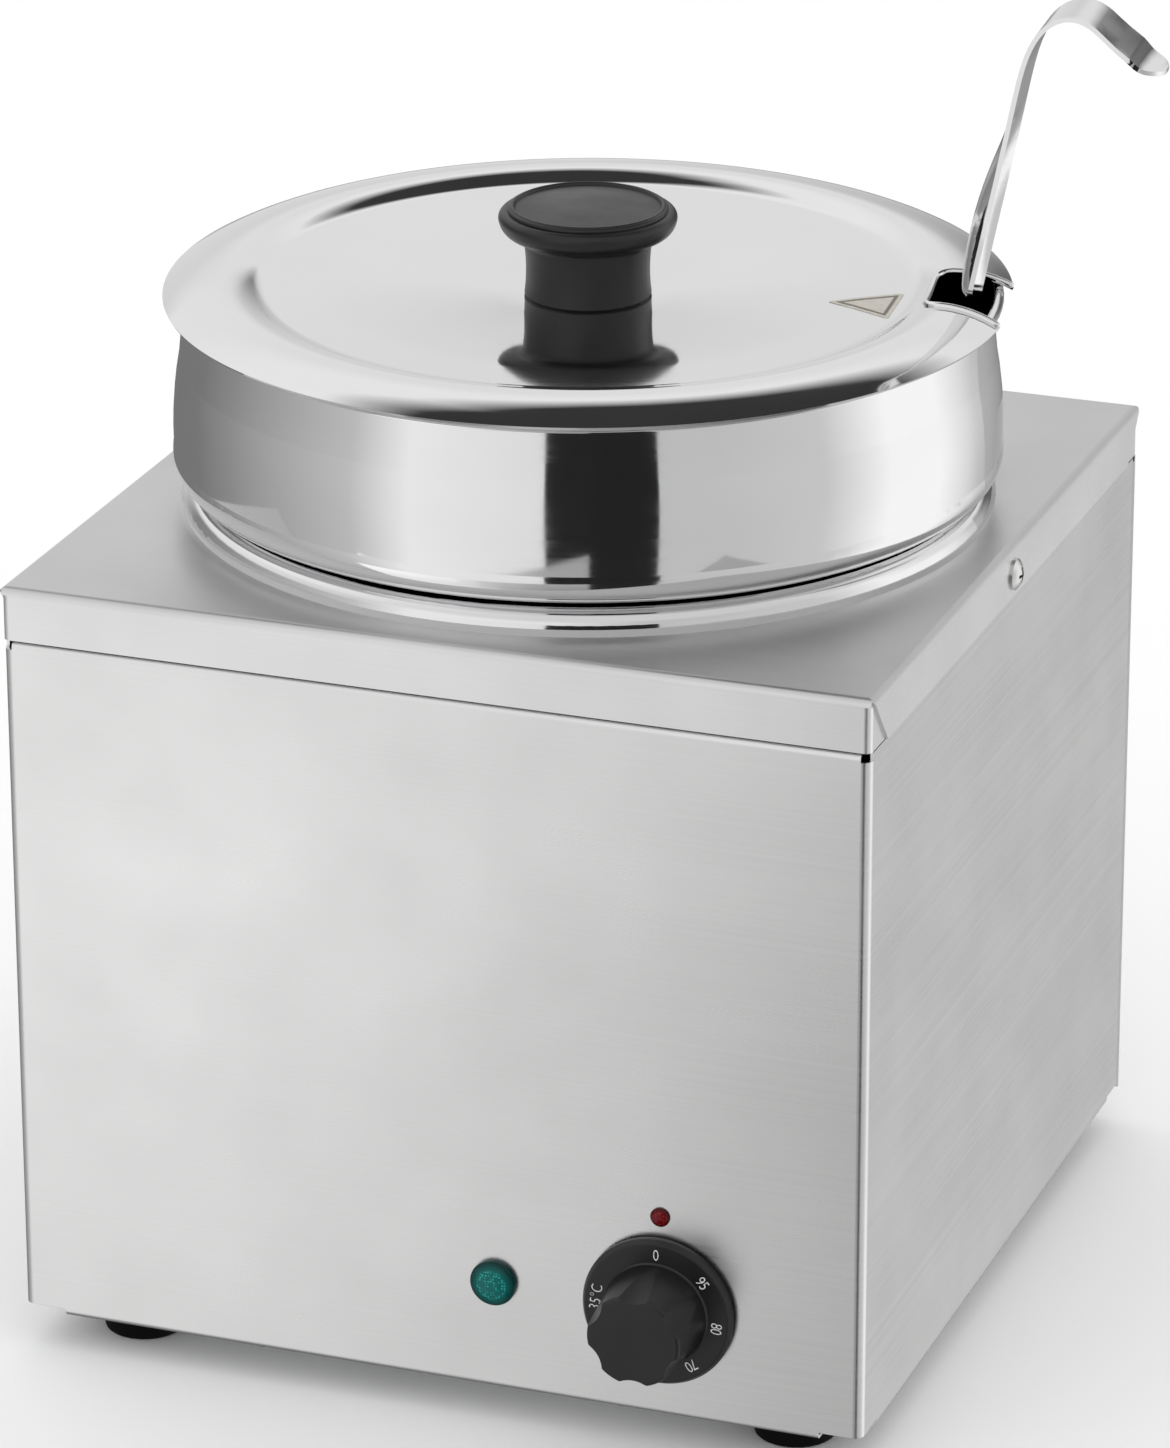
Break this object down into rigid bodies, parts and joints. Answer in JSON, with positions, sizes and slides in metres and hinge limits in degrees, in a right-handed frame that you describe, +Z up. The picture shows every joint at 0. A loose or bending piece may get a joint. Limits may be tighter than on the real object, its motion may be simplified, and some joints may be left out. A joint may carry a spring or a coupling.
{
  "type": "countertop soup warmer",
  "caption": "Electric countertop soup warmer: square steel casing with a round heated well, lift-out pot, notched lid with black knob, hooked ladle, dial and pilot lamps",
  "frame": {"origin": "centre of the casing on the plane that the feet stand on, under the axis of the well", "axes": "+Z up along the axis of the well, the control panel faces -Y, +X to the right of someone facing the controls"},
  "size_m": [0.3199, 0.324, 0.4214],
  "materials": {
    "brushed_sheet": "brushed",
    "polished_steel": "polished",
    "galvanised_sheet": "matt",
    "black_rubber": "matt",
    "zinc_fasteners": "satin",
    "steel_screws": "satin",
    "element_sheath": "matt",
    "aluminium_plate": "satin",
    "mineral_wool": "fibrous",
    "copper_bulb": "satin",
    "white_ceramic": "gloss",
    "switch_plastic": "matt",
    "green_lens": "gloss",
    "red_lens": "gloss",
    "lamp_plastic": "matt",
    "white_plastic": "matt",
    "brass_screws": "satin",
    "black_nylon": "matt",
    "wire_insulation": "matt",
    "black_bakelite": "satin",
    "foil": "satin"
  },
  "bodies": {
    "housing": {"casing_wrap": "brushed_sheet", "top_cover": "brushed_sheet", "back_panel": "brushed_sheet", "base_plate": "galvanised_sheet", "foot_front_left": "black_rubber", "foot_front_right": "black_rubber", "foot_back_left": "black_rubber", "foot_back_right": "black_rubber", "foot_screws": "zinc_fasteners", "foot_nuts": "zinc_fasteners", "cover_screws": "steel_screws", "cover_nuts": "zinc_fasteners", "base_screws": "steel_screws", "back_screws": "steel_screws", "well_tank": "polished_steel", "heating_element": "element_sheath", "heater_clamp_plate": "aluminium_plate", "heater_studs": "zinc_fasteners", "heater_nuts": "zinc_fasteners", "insulation_blanket": "mineral_wool", "sensor_bulb": "copper_bulb", "bulb_clip": "galvanised_sheet", "overheat_cutout": "white_ceramic", "cutout_bracket": "galvanised_sheet", "thermostat_body": "switch_plastic", "thermostat_screws": "zinc_fasteners", "green_lamp_lens": "green_lens", "green_lamp_body": "lamp_plastic", "green_lamp_nut": "lamp_plastic", "red_lamp_lens": "red_lens", "red_lamp_body": "lamp_plastic", "red_lamp_nut": "lamp_plastic", "terminal_block": "white_plastic", "terminal_screws": "brass_screws", "earth_stud": "brass_screws", "earth_nuts": "brass_screws", "cord_gland": "black_nylon", "gland_cap": "black_nylon", "gland_nut": "black_nylon", "wiring_loom": "wire_insulation"},
    "dial": {"dial_knob": "black_bakelite", "thermostat_shaft": "zinc_fasteners"},
    "pot": {"soup_pot": "polished_steel"},
    "lid": {"lid_shell": "polished_steel", "lid_knob": "black_bakelite", "knob_insert": "brass_screws", "knob_screw": "steel_screws", "knob_washer": "steel_screws", "foil_sticker": "foil"},
    "ladle": {"ladle_handle": "polished_steel", "ladle_bowl": "polished_steel"}
  },
  "joints": [
    {"name": "dial_turn", "type": "hinge", "parent": "housing", "child": "dial", "pos_m": [0.074, -0.14, 0.0483], "axis": [0, 1, 0], "range_deg": [0, 310]},
    {"name": "pot_lift", "type": "slide", "parent": "housing", "child": "pot", "axis": [0, 0, 1], "range_m": [0, 0.2]},
    {"name": "lid_lift", "type": "slide", "parent": "pot", "child": "lid", "axis": [0, 0, 1], "range_m": [0, 0.12]},
    {"name": "ladle_slide", "type": "slide", "parent": "pot", "child": "ladle", "axis": [0.2003, 0.0175, 0.9796], "range_m": [0, 0.14]}
  ]
}
